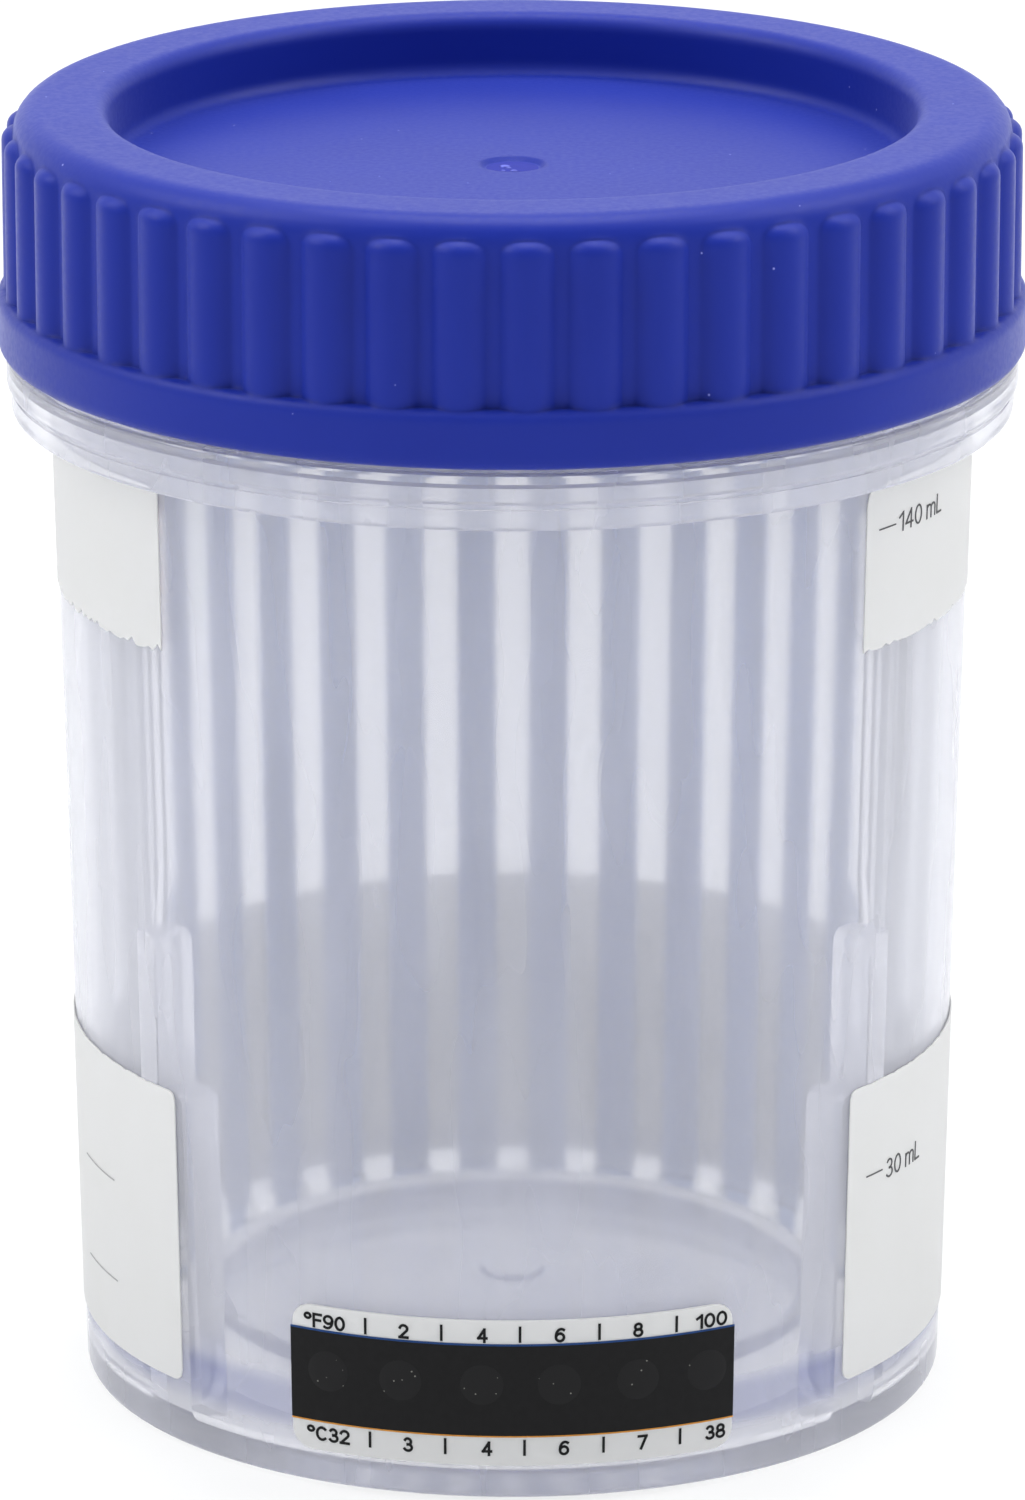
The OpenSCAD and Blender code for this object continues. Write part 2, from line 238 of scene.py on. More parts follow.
FLOOR_HALF, FLOOR_Z, GLOW_SHARE = 1.3, -2e-4, 0.7
floor_finish, tree, surface, _ = new_material("white_card_floor")
share = add(tree, "Math", {"operation": "MULTIPLY"}, _0=seen_directly(tree), _1=GLOW_SHARE)
card = add(tree, "BsdfDiffuse", Color=hex_linear("f4f5f6"))
glow = add(tree, "Emission", Color=(1, 1, 1, 1), Strength=1.0)
mixed = add(tree, "MixShader", _0=share.outputs[0], _1=card.outputs[0], _2=glow.outputs[0])
tree.links.new(mixed.outputs[0], surface)
corners = [(x * FLOOR_HALF, y * FLOOR_HALF, FLOOR_Z)
           for x, y in ((-1, -1), (1, -1), (1, 1), (-1, 1))]
floor_mesh = bpy.data.meshes.new("floor")
floor_mesh.from_pydata(corners, [], [(0, 1, 2, 3)])
floor_mesh.materials.append(floor_finish)
floor = bpy.data.objects.new("floor", floor_mesh)
bpy.context.scene.collection.objects.link(floor)
print("floor at z", FLOOR_Z, "m")


# %% Lamps
MID_HEIGHT = 0.045


def soft_lamp(name, place, size, energy):
    """A square area lamp that faces the middle of the cup. Lengths are in metres."""
    lamp = bpy.data.lights.new(name, "AREA")
    lamp.size, lamp.energy = size, energy
    made = bpy.data.objects.new(name, lamp)
    bpy.context.scene.collection.objects.link(made)
    made.location = place
    aim = np.array([0, 0, MID_HEIGHT]) - np.array(place)
    tilt = math.pi - math.acos(aim[2] / np.linalg.norm(aim))
    made.rotation_euler = (tilt, 0, math.atan2(aim[1], aim[0]) - math.pi / 2)
    return made


lamps = [soft_lamp("left_lamp", (-0.9, -0.1, 0.95), 0.8, 9.0),
         soft_lamp("right_lamp", (0.9, 0.0, 0.95), 0.8, 9.0),
         soft_lamp("top_lamp", (0.0, 0.25, 1.3), 0.8, 11.5)]
print("lamps:", len(lamps))

# %% [markdown]
# ## Natural polypropylene
# The cup and the strip carrier are moulded in uncoloured polypropylene. It is clear enough
# to see through and milky enough to veil what is behind it, with slow streaks from the way
# the melt flowed. Rough glass carries the view, and a share of milk scatters the light. At
# the height of the cup's raised floor, seen edge on through the wall, the milk is painted a
# much deeper tone. Most of it is painted shade for the dim floor, and a little of it comes
# from the floor's own thickness.

# %% Natural polypropylene
FLOOR_MID = 5.3
FLOOR_REACH, FLOOR_FADE = 1.0, 2.0
THROUGH_SHARE, MILK_DRIFT, MILK_IN_LIGHT = 0.35, 0.15, 0.5
STREAK_STRETCH = 5.0


def milky_plastic(name, tint, haze, milk, milk_code, floor_shade_code=None, streak=6.0):
    """Rough glass for what is seen through the wall, mixed with milk, the share of light
    that scatters in it at each face. haze is the roughness of the see-through part. The
    milk's share drifts in streaks up the wall, streak mm wide. Its colour is milk_code, and
    the darker colour given last within FLOOR_REACH of the raised floor's height, fading out
    at FLOOR_FADE, as painted shade for the dim floor.
    Lamps shine through the clear share without being bent, and only half of the milk stands
    in their way, which keeps the inside bright."""
    made, tree, surface, where = new_material(name)
    glass = add(tree, "BsdfPrincipled", Base_Color=hex_linear(tint), Roughness=haze, IOR=1.49,
                Transmission_Weight=1.0)
    window = add(tree, "BsdfTransparent", Color=hex_linear(tint))
    path = add(tree, "LightPath")
    lit = add(tree, "Math", {"operation": "MAXIMUM"}, _0=path.outputs["Is Shadow Ray"],
              _1=path.outputs["Is Diffuse Ray"])
    clear = add(tree, "MixShader", _0=lit.outputs[0], _1=glass.outputs[0], _2=window.outputs[0])
    tone = hex_linear(milk_code)
    # Painted shade: near the raised floor's height the milk takes a much deeper tone.
    if floor_shade_code:
        height = add(tree, "SeparateXYZ", Vector=where)
        off = add(tree, "Math", {"operation": "SUBTRACT"}, _0=height.outputs["Z"],
                  _1=FLOOR_MID * MM)
        gap = add(tree, "Math", {"operation": "ABSOLUTE"}, _0=off.outputs[0])
        away = add(tree, "MapRange", _0=gap.outputs[0], _1=FLOOR_REACH * MM,
                   _2=FLOOR_FADE * MM)
        tone = add(tree, "Mix", {"data_type": "RGBA"}, _0=away.outputs[0],
                   _6=hex_linear(floor_shade_code), _7=tone).outputs[2]
    body = add(tree, "BsdfDiffuse", Color=tone)
    through = add(tree, "BsdfTranslucent", Color=tone)
    solid = add(tree, "MixShader", _0=THROUGH_SHARE, _1=body.outputs[0], _2=through.outputs[0])
    tall = add(tree, "Mapping", Vector=where, Scale=(1, 1, 1 / STREAK_STRETCH))
    flow = add(tree, "TexNoise", Vector=tall.outputs[0], Scale=per_mm(streak), Detail=2.0)
    veil = add(tree, "MapRange", _0=flow.outputs[0], **NOISE_SPAN,
               _3=milk * (1 - MILK_DRIFT), _4=milk * (1 + MILK_DRIFT))
    onward = add(tree, "Math", {"operation": "MULTIPLY_ADD"}, _0=lit.outputs[0],
                 _1=MILK_IN_LIGHT - 1.0, _2=1.0)
    share = add(tree, "Math", {"operation": "MULTIPLY"}, _0=veil.outputs[0], _1=onward.outputs[0])
    mixed = add(tree, "MixShader", _0=share.outputs[0], _1=clear.outputs[0], _2=solid.outputs[0])
    tree.links.new(mixed.outputs[0], surface)
    return made


# The cup's thick wall looks milkier than the carrier, whose thin skin stays clearer.
# The cup's last colour is painted shade for its raised floor, seen through the wall.
cup_finish = milky_plastic(
    "natural_polypropylene_moulded", "fdfdfd", 0.07, 0.26, "f1f2fd", "a2a9d8")
carrier_finish = milky_plastic("natural_polypropylene_carrier", "fdfdfd", 0.06, 0.1, "f1f3fc")
print("milky plastics:", cup_finish.name, carrier_finish.name)

# %% [markdown]
# ## Blue polypropylene
# The lid is the same plastic with a blue colourant, moulded in a fine-sparked tool. The
# surface is satin: it takes a pale sheen where it is seen at a flat angle. The ribs look
# softer in the photograph than the solid's small radii, so a bevel in the shading rounds
# their corners over 0.7 mm. A few specks of dust lie on it. Its grain is drawn 0.4 mm wide,
# coarser than the real one, so that it shows.

# %% Blue polypropylene
SOFT_R = 0.7
lid_finish, tree, surface, where = new_material("blue_polypropylene_moulded")
cloud = add(tree, "TexNoise", Vector=where, Scale=per_mm(9.0), Detail=3.0)
blue = add(tree, "Mix", {"data_type": "RGBA"}, _0=cloud.outputs[0], _6=hex_linear("0a2187"),
           _7=hex_linear("0f2790"))
cells = add(tree, "TexVoronoi", Vector=where, Scale=per_mm(3.2))
speck = add(tree, "Math", {"operation": "LESS_THAN"}, _0=cells.outputs["Distance"], _1=0.024)
dusty = add(tree, "Mix", {"data_type": "RGBA"}, _0=speck.outputs[0], _6=blue.outputs[2],
            _7=hex_linear("8890d4"))
grain = add(tree, "TexNoise", Vector=where, Scale=per_mm(0.4), Detail=2.0)
satin = add(tree, "MapRange", _0=grain.outputs[0], **NOISE_SPAN, _3=0.36, _4=0.46)
softened = add(tree, "Bevel", {"samples": 4}, Radius=SOFT_R * MM)
bump = add(tree, "Bump", Strength=0.1, Distance=0.05 * MM, Height=grain.outputs[0],
           Normal=softened.outputs[0])
body = add(tree, "BsdfPrincipled", Base_Color=dusty.outputs[2], Roughness=satin.outputs[0],
           IOR=1.49, Specular_IOR_Level=0.2, Sheen_Weight=0.24, Sheen_Roughness=0.35,
           Sheen_Tint=hex_linear("c4caff"), Normal=bump.outputs[0])
tree.links.new(body.outputs[0], surface)
print("lid:", lid_finish.name)

# %% [markdown]
# ## White film
# The labels are thin white polythene film, matt from above and thin enough to glow when
# light comes from behind. A small share of the light passes straight through.

# %% White film
def white_film(name, code, glow_share, clear_share):
    """Matt film: a diffuse face, a share that glows through and a small clear share. A
    slow noise gives it the tint of handled film, and a fine one its matt grain, drawn
    0.3 mm wide, coarser than the real one, so that it shows."""
    made, tree, surface, where = new_material(name)
    cloud = add(tree, "TexNoise", Vector=where, Scale=per_mm(7.0), Detail=3.0)
    tint = add(tree, "Mix", {"data_type": "RGBA"}, _0=cloud.outputs[0], _6=hex_linear(code),
               _7=hex_linear("ececea"))
    grain = add(tree, "TexNoise", Vector=where, Scale=per_mm(0.3), Detail=2.0)
    bump = add(tree, "Bump", Strength=0.15, Distance=0.02 * MM, Height=grain.outputs[0])
    face = add(tree, "BsdfPrincipled", Base_Color=tint.outputs[2], Roughness=0.5, IOR=1.5,
               Normal=bump.outputs[0])
    through = add(tree, "BsdfTranslucent", Color=tint.outputs[2])
    soft = add(tree, "MixShader", _0=glow_share, _1=face.outputs[0], _2=through.outputs[0])
    window = add(tree, "BsdfTransparent", Color=(1, 1, 1, 1))
    mixed = add(tree, "MixShader", _0=clear_share, _1=soft.outputs[0], _2=window.outputs[0])
    tree.links.new(mixed.outputs[0], surface)
    return made


label_finish = white_film("white_polythene_film", "f0f0f0", 0.3, 0.08)
print("film:", label_finish.name)

# %% [markdown]
# ## Ink
# Print is a very thin layer that stands on the film. Black ink is never quite black, and
# its edges are crisp, so the ink is drawn as its own thin pieces. The liquid-crystal spots
# are nearly black below their first temperature, with a few pale crystals that catch light.

# %% Ink, printed fields and temperature spots
INK_SHINE = 0.15


def ink(name, code, rough, mottle=0.12):
    """Ink on film: one colour with a faint mottle, half a millimetre across."""
    made, tree, surface, where = new_material(name)
    spots = add(tree, "TexNoise", Vector=where, Scale=per_mm(0.5), Detail=2.0)
    deep = add(tree, "MapRange", _0=spots.outputs[0], **NOISE_SPAN, _3=1 - mottle,
               _4=1 + mottle)
    tint = add(tree, "VectorMath", {"operation": "SCALE"}, _0=hex_linear(code)[:3],
               _3=deep.outputs[0])
    body = add(tree, "BsdfPrincipled", Base_Color=tint.outputs[0], Roughness=rough,
               Specular_IOR_Level=INK_SHINE)
    tree.links.new(body.outputs[0], surface)
    return made


black_ink = ink("black_ink", "151516", 0.5)
mark_ink = ink("dark_grey_ink", "4e4e50", 0.5)
grey_ink = ink("pale_grey_ink", "a6a6a6", 0.5)
field_ink = ink("black_printed_field", "151516", 0.6)
blue_ink = ink("blue_ink_line", "1d3f74", 0.5)
orange_ink = ink("orange_ink_line", "c98a3a", 0.5)

spot_finish, tree, surface, where = new_material("liquid_crystal_spot")
cells = add(tree, "TexVoronoi", Vector=where, Scale=per_mm(0.55))
fleck = add(tree, "Math", {"operation": "LESS_THAN"}, _0=cells.outputs["Distance"], _1=0.1)
shade = add(tree, "Mix", {"data_type": "RGBA"}, _0=fleck.outputs[0], _6=hex_linear("19191a"),
            _7=hex_linear("7e7e78"))
body = add(tree, "BsdfPrincipled", Base_Color=shade.outputs[2], Roughness=0.45,
           Specular_IOR_Level=INK_SHINE)
tree.links.new(body.outputs[0], surface)
inks = (black_ink, mark_ink, grey_ink, field_ink, blue_ink, orange_ink)
print("inks:", len(inks), "and", spot_finish.name)

# %% [markdown]
# ## Paper, card and foam
# A test strip is a stiff plastic card with a nitrocellulose membrane between two pads: glass
# fibre for the sample below, cotton paper above. Seen from the front, only the back of the
# white card shows through the carrier's skin, painted a pale blue-grey: painted shade for the
# strips in the dim inside of the cup. The card is smooth with long faint streaks, glass fibre
# is felted and matt, nitrocellulose is chalky and even, cotton paper is soft and short in the
# fibre, and the lid's foam seal shows its small cells.

# %% Card, membrane, pads, tape and foam
def fibre(name, code, other, length, width, rough, glow_share=0.1):
    """Matt fibrous stuff: two tints mixed by a noise that is drawn out along Z. length and
    width are those of a tuft in millimetres, because single fibres are too fine to show. It
    is thin, so a share of the light that falls on its other side glows through."""
    made, tree, surface, where = new_material(name)
    tall = add(tree, "Mapping", Vector=where, Scale=(1, 1, width / length))
    hairs = add(tree, "TexNoise", Vector=tall.outputs[0], Scale=per_mm(width), Detail=3.0)
    tint = add(tree, "Mix", {"data_type": "RGBA"}, _0=hairs.outputs[0], _6=hex_linear(code),
               _7=hex_linear(other))
    bump = add(tree, "Bump", Strength=0.4, Distance=0.05 * MM, Height=hairs.outputs[0])
    body = add(tree, "BsdfPrincipled", Base_Color=tint.outputs[2], Roughness=rough,
               Normal=bump.outputs[0])
    through = add(tree, "BsdfTranslucent", Color=tint.outputs[2])
    mixed = add(tree, "MixShader", _0=glow_share, _1=body.outputs[0], _2=through.outputs[0])
    tree.links.new(mixed.outputs[0], surface)
    return made


# The card is white. Its pale blue-grey colour here is painted shade for the dim inside of the
# cup.
shaded_card_finish = fibre("polystyrene_backing_card_painted_shade", "a2bdff", "aec7ff", 8.0, 0.8, 0.4, 0.3)
pad_finish = fibre("glass_fibre_pad", "e8e8e2", "f4f4f0", 1.5, 0.2, 0.95)
membrane_finish = fibre("nitrocellulose_membrane", "f0f0ee", "f6f6f4", 0.6, 0.3, 0.8)
cotton_finish = fibre("cotton_paper_pad", "ecece8", "f5f5f2", 0.9, 0.25, 0.95)

foam_finish, tree, surface, where = new_material("foamed_polythene_seal")
cells = add(tree, "TexVoronoi", Vector=where, Scale=per_mm(0.35))
tint = add(tree, "Mix", {"data_type": "RGBA"}, _0=cells.outputs["Distance"],
           _6=hex_linear("f2f2f2"), _7=hex_linear("d8d8d8"))
bump = add(tree, "Bump", Strength=0.5, Distance=0.05 * MM, Height=cells.outputs["Distance"])
body = add(tree, "BsdfPrincipled", Base_Color=tint.outputs[2], Roughness=0.7,
           Normal=bump.outputs[0])
tree.links.new(body.outputs[0], surface)

NODE_FINISHES = {
    "cup_body": cup_finish, "lid": lid_finish, "lid_gasket": foam_finish,
    "strip_carrier": carrier_finish, "label": label_finish, "temperature": label_finish,
    "backing": shaded_card_finish, "sample": pad_finish, "membrane": membrane_finish,
    "absorbent": cotton_finish}
for name, node in nodes.items():
    stem = name if name in NODE_FINISHES else name.split("_")[0]
    node.data.materials.clear()
    node.data.materials.append(NODE_FINISHES[stem])
print("finished nodes:", len(nodes))

# %% [markdown]
# ## The torn labels
# One large label once went all the way round. Its middle has been peeled off along two rows
# of tiny cuts, so the band above and the band below are left, each with one torn edge.
# Each band is a grid: the columns go round the cup, and the rows between its two edges.

# %% Torn edges
rng = np.random.default_rng(7)
LABEL_STEP, CUT_PITCH = 0.25, 0.45


def torn(angles, pitch, depth):
    """A torn edge: small teeth of the cuts' pitch, each of its own depth, in millimetres.
    Random heights at each tooth are joined by straight lines."""
    arc = np.radians(angles - angles[0]) * FOOT_R
    teeth = np.arange(0, arc[-1] + 2 * pitch, pitch)
    heights = rng.uniform(0, 1, len(teeth)) ** 2 * np.where(np.arange(len(teeth)) % 2, 1.0, 0.25)
    return depth * np.interp(arc, teeth, heights)


def rounded(angles, first_r, last_r):
    """How far an edge draws back near the film's two ends, so that its corners are round:
    r - sqrt(r^2 - (r - s)^2) at a distance s from the end."""
    arc = np.radians(angles - angles[0]) * FOOT_R
    inset = np.zeros_like(arc)
    for s, r in ((arc, first_r), (arc[-1] - arc, last_r)):
        near = np.clip(r - s, 0, r)
        inset += r - np.sqrt(np.maximum(r * r - near * near, 0))
    return inset


def label_band(name, node, low, high):
    """A label's band between two edges, given as heights over the columns' angles. The
    angles run from the front's right side round the back to its left side."""
    share = np.linspace(0, 1, 9)[:, None]
    z = low + (high - low) * share
    points, faces = film(on_wall(ANGLES, z, FILM_OUT), on_wall(ANGLES, z, FILM_IN))
    made = new_piece(name, points, faces, label_finish, "cup")
    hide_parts(node)
    return made


ANGLES = np.arange(LABEL_END, 360 - LABEL_END + LABEL_STEP / 2, LABEL_STEP)
LEFT_SIDE = ANGLES > 200
upper = label_band(
    "label_upper_torn", "label_upper",
    UPPER_LABEL[0] + 0.05 + torn(ANGLES, CUT_PITCH, np.where(LEFT_SIDE, 0.65, 0.3)),
    UPPER_LABEL[1] - rounded(ANGLES, 1.5, 0.5))
lower = label_band(
    "label_lower_torn", "label_lower",
    LOWER_LABEL[0] + rounded(ANGLES, 0.8, 0.8),
    LOWER_LABEL[1] - rounded(ANGLES, 0.6, 0.6) - torn(ANGLES, CUT_PITCH, 0.12))
print("label faces:", len(upper.data.polygons), len(lower.data.polygons))


# %% [markdown]
# ## Figures and ticks
# The upper label carries a 140 mL line and the lower one a 30 mL line, with two plain ticks
# on the other side. Figures could come from a font, but a print this small is better drawn
# as it is read: each figure is a few strokes of one pen, bars and arcs in a box one high.
# A stroke becomes a ribbon, and the ribbon is bent round the wall.

# %% Strokes of the figures
def bar(x0, y0, x1, y1):
    """A straight stroke between two points."""
    return np.array([[x0, y0], [x1, y1]])


def arc(cx, cy, rx, ry, start, end):
    """A curved stroke: x = cx + rx cos t, y = cy + ry sin t, with t from start to end in
    degrees."""
    t = np.radians(np.linspace(start, end, max(5, int(abs(end - start) / 12))))
    return np.stack([cx + rx * np.cos(t), cy + ry * np.sin(t)], axis=-1)


def then(stroke, x, y):
    """A stroke that goes on in a straight line to one more point."""
    return np.concatenate([stroke, [[x, y]]])


FIGURES = {
    "0": (0.56, [arc(0.28, 0.5, 0.28, 0.5, 90, 440)]),
    "1": (0.30, [bar(0.30, 0, 0.30, 1), bar(0.0, 0.76, 0.26, 0.95)]),
    "2": (0.54, [then(arc(0.27, 0.72, 0.26, 0.28, 165, -35), 0.04, 0.03), bar(0, 0, 0.54, 0)]),
    "3": (0.54, [arc(0.26, 0.75, 0.22, 0.25, 150, -90), arc(0.27, 0.26, 0.27, 0.26, 90, -150)]),
    "4": (0.60, [bar(0.45, 0, 0.45, 1), bar(0.43, 0.98, 0, 0.28), bar(0, 0.28, 0.60, 0.28)]),
    "6": (0.56, [arc(0.28, 0.31, 0.28, 0.31, 90, 440), arc(0.36, 0.42, 0.36, 0.58, 180, 60)]),
    "7": (0.54, [bar(0, 1, 0.54, 1), bar(0.53, 0.97, 0.17, 0)]),
    "8": (0.56, [arc(0.28, 0.76, 0.23, 0.24, -90, 260), arc(0.28, 0.27, 0.28, 0.27, 90, 440)]),
    "9": (0.56, [arc(0.28, 0.69, 0.28, 0.31, 270, 620), arc(0.20, 0.58, 0.36, 0.58, 0, -120)]),
    "°": (0.40, [arc(0.2, 0.8, 0.2, 0.2, 0, 345)]),
    "F": (0.50, [bar(0, 0, 0, 1), bar(0, 1, 0.50, 1), bar(0, 0.52, 0.44, 0.52)]),
    "C": (0.64, [arc(0.34, 0.5, 0.34, 0.5, 50, 310)]),
    "m": (0.84, [bar(0, 0, 0, 0.7), then(arc(0.21, 0.48, 0.21, 0.22, 180, 0), 0.42, 0),
                 then(arc(0.63, 0.48, 0.21, 0.22, 180, 0), 0.84, 0)]),
    "L": (0.46, [bar(0, 0, 0, 1), bar(0, 0, 0.46, 0)]),
    " ": (0.1, [])}
LETTER_GAP = 0.24
print("figures:", len(FIGURES))

# %% Ribbons on the wall
INK_T = 0.03


def ribbon(path, pen):
    """A stroke of a pen's width along a path: each point steps half the width to both sides
    of the path's direction, and both ends reach half a width further. Rows run along the
    path, with the left side first."""
    ahead = np.gradient(path, axis=0)
    ahead /= np.linalg.norm(ahead, axis=1, keepdims=True)
    path = path.copy()
    path[0] -= ahead[0] * pen / 2
    path[-1] += ahead[-1] * pen / 2
    right = np.stack([ahead[:, 1], -ahead[:, 0]], axis=-1) * pen / 2
    return np.stack([path - right, path + right], axis=1)


def figures(words, a0, a1, z0, z1, lift, pen):
    """Figures that fill a box on the wall between two angles and two heights, drawn with a
    pen whose width is in millimetres. Strokes are laid out in arc length and height, made
    ribbons, and bent: angle = arc length / wall radius."""
    radius = wall_r(z0)
    left, right = np.radians(a0) * radius + pen / 2, np.radians(a1) * radius - pen / 2
    low, high = z0 + pen / 2, z1 - pen / 2
    wide = sum(FIGURES[w][0] for w in words) + LETTER_GAP * (len(words) - 1)
    parts, start = [], 0.0
    for w in words:
        for stroke in FIGURES[w][1]:
            path = np.stack([left + (right - left) * (start + stroke[:, 0]) / wide,
                             low + (high - low) * stroke[:, 1]], axis=-1)
            flat = ribbon(path, pen)
            angle = np.degrees(flat[..., 0] / radius)
            height = flat[..., 1]
            parts.append(film(on_wall(angle, height, lift + INK_T), on_wall(angle, height, lift)))
        start += FIGURES[w][0] + LETTER_GAP
    return joined(parts)


def triangles(faces):
    """Quads cut along one diagonal. Triangles stay as they are."""
    if faces.shape[1] == 3:
        return faces
    return np.concatenate([faces[:, [0, 1, 2]], faces[:, [0, 2, 3]]])


def print_piece(name, parts, finish):
    """One piece of print from several sets of points and faces, as triangles."""
    points, faces = joined([(p, triangles(f)) for p, f in parts])
    return new_piece(name, points, faces, finish, "cup")


ON_LABEL = FILM_OUT + 0.01
TICK = 0.09
MARK_PEN = 0.13
upper_mark = print_piece("mark_140_ml", [
    figures("140 mL", 55.0, 66.3, 62.5, 63.85, ON_LABEL, MARK_PEN),
    wall_patch(50.8, 54.3, 63.15 - TICK / 2, 63.15 + TICK / 2, ON_LABEL, ON_LABEL + INK_T)],
    mark_ink)
lower_mark = print_piece("mark_30_ml", [
    figures("30 mL", 56.8, 66.5, 17.7, 19.05, ON_LABEL, MARK_PEN),
    wall_patch(52.2, 55.9, 18.5 - TICK / 2, 18.5 + TICK / 2, ON_LABEL, ON_LABEL + INK_T)],
    mark_ink)
side_ticks = print_piece("side_ticks", [
    wall_patch(-75.5, -64.0, z - TICK / 2, z + TICK / 2, ON_LABEL, ON_LABEL + INK_T)
    for z in (16.45, 9.3)], grey_ink)
print("marks:", [len(p.data.polygons) for p in (upper_mark, lower_mark, side_ticks)])

# %% [markdown]
# ## The temperature strip
# A white film carries a black field with six liquid-crystal spots, a scale in degrees
# Fahrenheit above it and one in degrees Celsius below. Each part is a thin closed layer over
# the film, a few hundredths of a millimetre thick, so that none of them flickers through
# another.

# %% Field, lines, scales and spots
ON_STRIP = STRIP_OUT + 0.01
FIELD_T = 0.02
ON_FIELD = ON_STRIP + FIELD_T
FIELD, FIELD_END = (4.56, 10.95), 29.45
field = print_piece(
    "temperature_field", [wall_patch(-FIELD_END, FIELD_END, *FIELD, ON_STRIP, ON_FIELD)],
    field_ink)
blue_line = print_piece("temperature_top_line", [
    wall_patch(-FIELD_END, FIELD_END, FIELD[1] - 0.06, FIELD[1] + 0.08, ON_FIELD,
               ON_FIELD + 0.01)], blue_ink)
orange_line = print_piece("temperature_lower_line", [
    wall_patch(-FIELD_END, FIELD_END, FIELD[0] - 0.07, FIELD[0] + 0.03, ON_FIELD,
               ON_FIELD + 0.01)], orange_ink)
print("field and lines:", [len(p.data.polygons) for p in (field, blue_line, orange_line)])

HALF_DIGIT = 0.68
UPPER_SCALE = [("°F90", -27.5, -21.7), ("2", -13.9, None), ("4", -3.8, None),
               ("6", 6.0, None), ("8", 16.1, None), ("100", 23.9, 28.35)]
LOWER_SCALE = [("°C32", -27.3, -21.25), ("3", -13.45, None), ("4", -3.25, None),
               ("6", 6.57, None), ("7", 16.83, None), ("38", 25.45, 28.37)]
UPPER_TICKS = (-18.95, -9.02, 0.95, 11.05, 21.24)
LOWER_TICKS = (-18.5, -8.6, 1.53, 11.68, 21.93)
TICK_HALF = 0.17
SCALE_PEN = 0.18


def scale_parts(words, ticks, z0, z1, tick_z0, tick_z1):
    """The figures and the dividing ticks of one scale. A single figure is centred on its
    angle, and a group fills the box between its two angles."""
    boxes = [(text, a - HALF_DIGIT, a + HALF_DIGIT) if end is None else (text, a, end)
             for text, a, end in words]
    parts = [figures(text, a0, a1, z0, z1, ON_STRIP, SCALE_PEN) for text, a0, a1 in boxes]
    return parts + [wall_patch(a - TICK_HALF, a + TICK_HALF, tick_z0, tick_z1, ON_STRIP,
                               ON_STRIP + INK_T) for a in ticks]


scales = print_piece(
    "temperature_scales",
    scale_parts(UPPER_SCALE, UPPER_TICKS, 11.1, 12.12, 11.13, 12.27)
    + scale_parts(LOWER_SCALE, LOWER_TICKS, 3.17, 4.2, 3.2, 4.32), black_ink)
print("scale faces:", len(scales.data.polygons))


def spot(angle, z, radius, height, rings=7, sides=40):
    """A low round blister on the field: rings of points whose height falls from the middle
    to the rim as 1 - (r/R)^4, and a flat back, joined at the rim."""
    r = np.linspace(0, radius, rings)[1:, None]
    t = np.radians(np.arange(sides) * 360 / sides)[None, :]
    dx, dz = r * np.cos(t), r * np.sin(t)
    rise = height * (1 - (r / radius) ** 4) + 0 * t
    top = on_wall(angle + np.degrees(dx / FOOT_R), z + dz, ON_FIELD + rise).reshape(-1, 3)
    tip = on_wall(np.array([angle]), np.array([z]), ON_FIELD + height)
    base = on_wall(np.array([angle]), np.array([z]), ON_STRIP)
    low = on_wall(angle + np.degrees(dx[-1] / FOOT_R), z + dz[-1], ON_STRIP)
    rim = sides * (rings - 2)
    j = np.arange(sides)
    k = (j + 1) % sides
    tip_i, base_i, low_i = sides * (rings - 1), sides * (rings - 1) + 1, sides * (rings - 1) + 2
    faces = [np.stack([tip_i + 0 * j, j, k], -1)]
    for i in range(rings - 2):
        a, b = i * sides, (i + 1) * sides
        faces += [np.stack([a + j, b + j, b + k], -1), np.stack([a + j, b + k, a + k], -1)]
    faces += [np.stack([rim + j, low_i + j, low_i + k], -1),
              np.stack([rim + j, low_i + k, rim + k], -1),
              np.stack([base_i + 0 * j, low_i + k, low_i + j], -1)]
    return np.concatenate([top, tip, base, low]), np.concatenate(faces)


SPOT_ANGLES = (-24.2, -14.4, -3.9, 5.95, 16.15, 25.6)
spots = print_piece("temperature_spots", [spot(a, 8.15, 1.4, 0.06) for a in SPOT_ANGLES],
                    spot_finish)
print("spots:", len(SPOT_ANGLES), "faces:", len(spots.data.polygons))

# %% [markdown]
# ## Coloured tapes on the strips
# Each strip's upper pad is held by a short tape, coloured so that one test can be told from
# the next. From the front only a trace of orange and green shows at the left.

# %% Tapes
TAPE_CODES = {12: "e2731f", 11: "4f9e63"}
TILT = math.atan(DRAFT)
TAPE_Z = (46.0, 59.6)
TAPE_HALF_W, TAPE_IN, TAPE_OUT = 1.33, 1.01, 1.07


def in_channel(number, x, out, z):
    """Points in a strip's channel: x across, out from the channel's floor and z along the
    leaning wall, turned to the channel's place round the back."""
    y = CHANNEL_R + out * math.cos(TILT) + z * math.sin(TILT)
    h = -out * math.sin(TILT) + z * math.cos(TILT)
    a = math.radians((number - (STRIP_COUNT + 1) / 2) * CHANNEL_PITCH)
    return np.stack([x * math.cos(a) - y * math.sin(a),
                     x * math.sin(a) + y * math.cos(a), h], axis=-1)


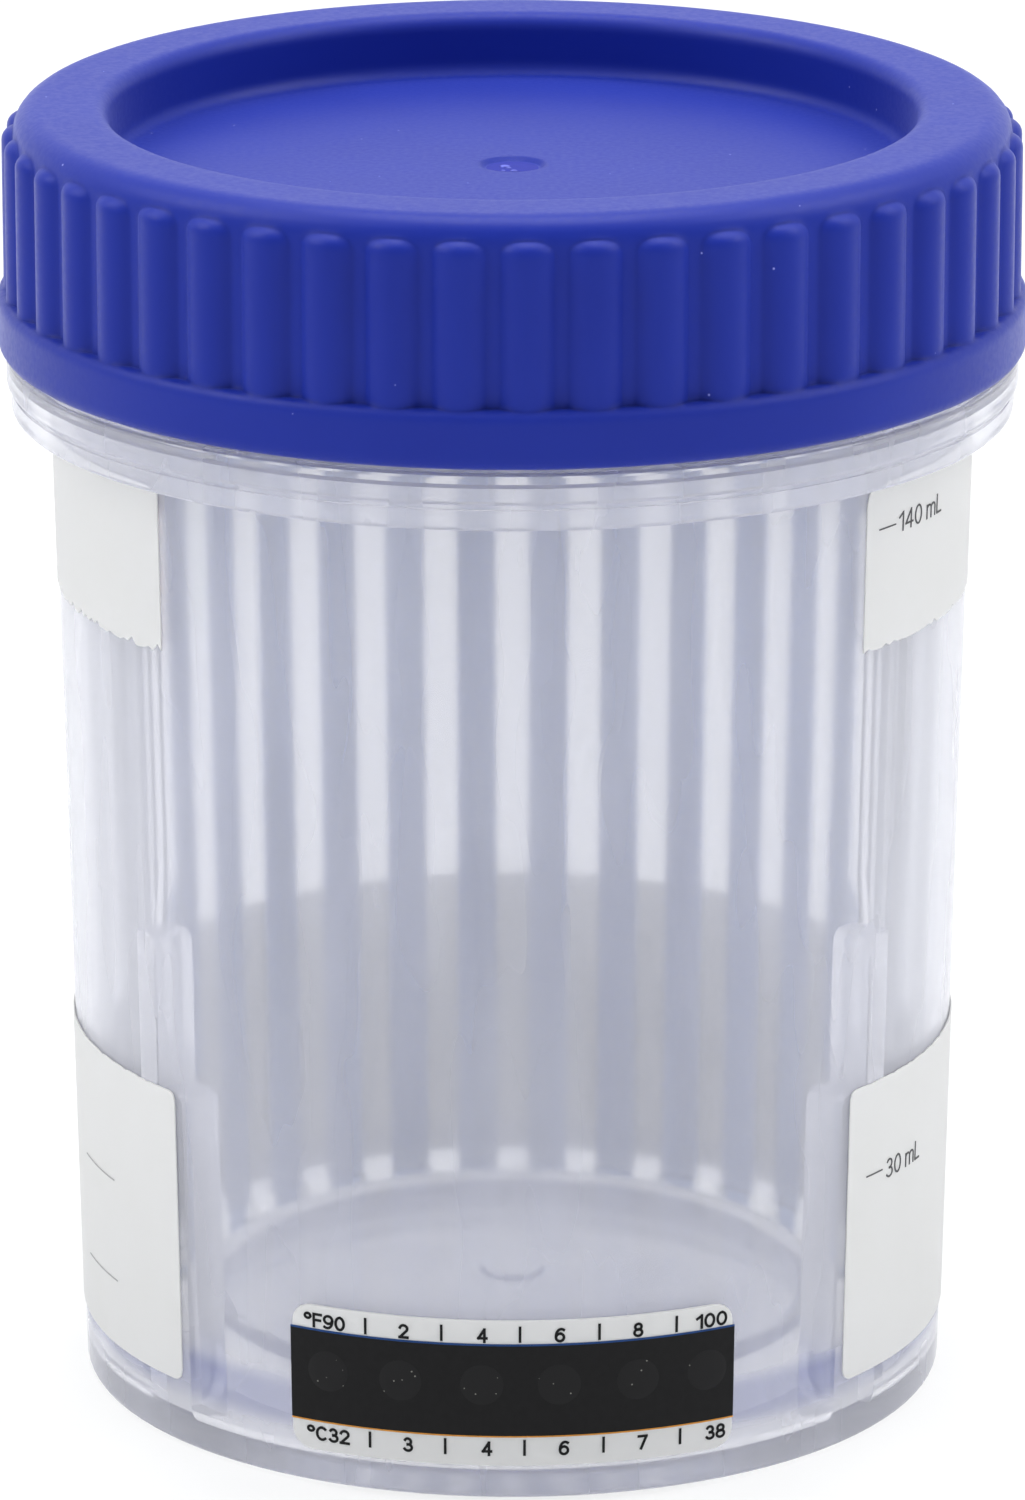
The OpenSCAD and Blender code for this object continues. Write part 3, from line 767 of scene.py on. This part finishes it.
WHITE_TAPE = "f0f0ec"
for number in range(1, STRIP_COUNT + 1):
    finish = ink(f"tape_dye_{number:02d}", TAPE_CODES.get(number, WHITE_TAPE), 0.35, 0.05)
    x, z = np.meshgrid(np.linspace(-TAPE_HALF_W, TAPE_HALF_W, 9), np.linspace(*TAPE_Z, 25))
    # The tape is crowned across its width and waves a little along its length.
    crown = 0.02 * np.cos(x / TAPE_HALF_W * math.pi / 2) + 0.008 * np.sin(z * 3.1 + number)
    points, faces = film(in_channel(number, -x, TAPE_OUT + crown, z),
                         in_channel(number, -x, TAPE_IN + 0 * x, z))
    new_piece(f"strip_tape_{number:02d}", points, faces, finish, "cup")
print("tapes:", STRIP_COUNT)

# %% [markdown]
# ## The gate's scar
# The lid was filled through one point in its middle. The runner broke off there and left a
# shallow dimple, duller than the skin round it, with a few stress-whitened crumbs.

# %% Gate scar
def dome(x, y, z, radius, height, rough, rows=7, sides=30):
    """A low dome on a flat round base: its radius shrinks as sqrt(1 - s^2) with the height,
    and rough is the share by which seeded noise pushes its points in and out."""
    s = np.linspace(0, 1, rows)[:-1, None]
    t = np.arange(sides)[None, :] * 2 * math.pi / sides
    r = radius * np.sqrt(1 - s * s) * (1 + rough * rng.uniform(-1, 1, (rows - 1, sides)))
    ring = np.stack([x + r * np.cos(t), y + r * np.sin(t), z + height * s + 0 * t], -1)
    ring = ring.reshape(-1, 3)
    ends = np.array([[x + 0.1 * radius, y, z + height], [x, y, z]])
    j = np.arange(sides)
    k = (j + 1) % sides
    tip_i, base_i = len(ring), len(ring) + 1
    faces = [np.stack([base_i + 0 * j, k, j], -1)]
    for i in range(rows - 2):
        a, b = i * sides, (i + 1) * sides
        faces += [np.stack([a + j, a + k, b + k], -1), np.stack([a + j, b + k, b + j], -1)]
    last = (rows - 2) * sides
    faces.append(np.stack([last + j, last + k, tip_i + 0 * j], -1))
    return np.concatenate([ring, ends]), np.concatenate(faces)


dull_finish = ink("blue_polypropylene_gate_scar", "2b328c", 0.7, 0.06)
crumb_finish = ink("blue_polypropylene_stress_whitened", "5f66bc", 0.6, 0.2)
RECESS_FLOOR_Z, GATE_DEPTH = 82.8, 0.25
GATE_FLOOR_Z = RECESS_FLOOR_Z - GATE_DEPTH
points, faces = dome(0.0, 0.0, GATE_FLOOR_Z - 0.02, 1.9, 0.05, 0.0)
new_piece("lid_gate_dimple", points, faces, dull_finish, "lid", smooth=True)
# Each crumb: x, y, radius and height.
CRUMBS = [(-0.5, 0.3, 0.34, 0.1), (-0.25, -0.15, 0.2, 0.08),
          (0.1, -1.05, 0.24, 0.12), (-0.6, -0.9, 0.14, 0.08)]
points, faces = joined([dome(x, y, GATE_FLOOR_Z, r, h, 0.25, 5, 12) for x, y, r, h in CRUMBS])
new_piece("lid_gate_nub", points, faces, crumb_finish, "lid", smooth=True)
print("crumbs:", len(CRUMBS), "faces:", len(faces))

# %% [markdown]
# ## View and render settings
# The plain view transform shows each colour about as it was picked. Eight bounces let a ray
# pass both faces of four walls. The lamps are picked without the light tree.

# %% View and render settings
bpy.context.scene.view_settings.view_transform = "Standard"
cycles = bpy.context.scene.cycles
cycles.use_light_tree = False
cycles.max_bounces, cycles.diffuse_bounces, cycles.glossy_bounces = 8, 2, 2
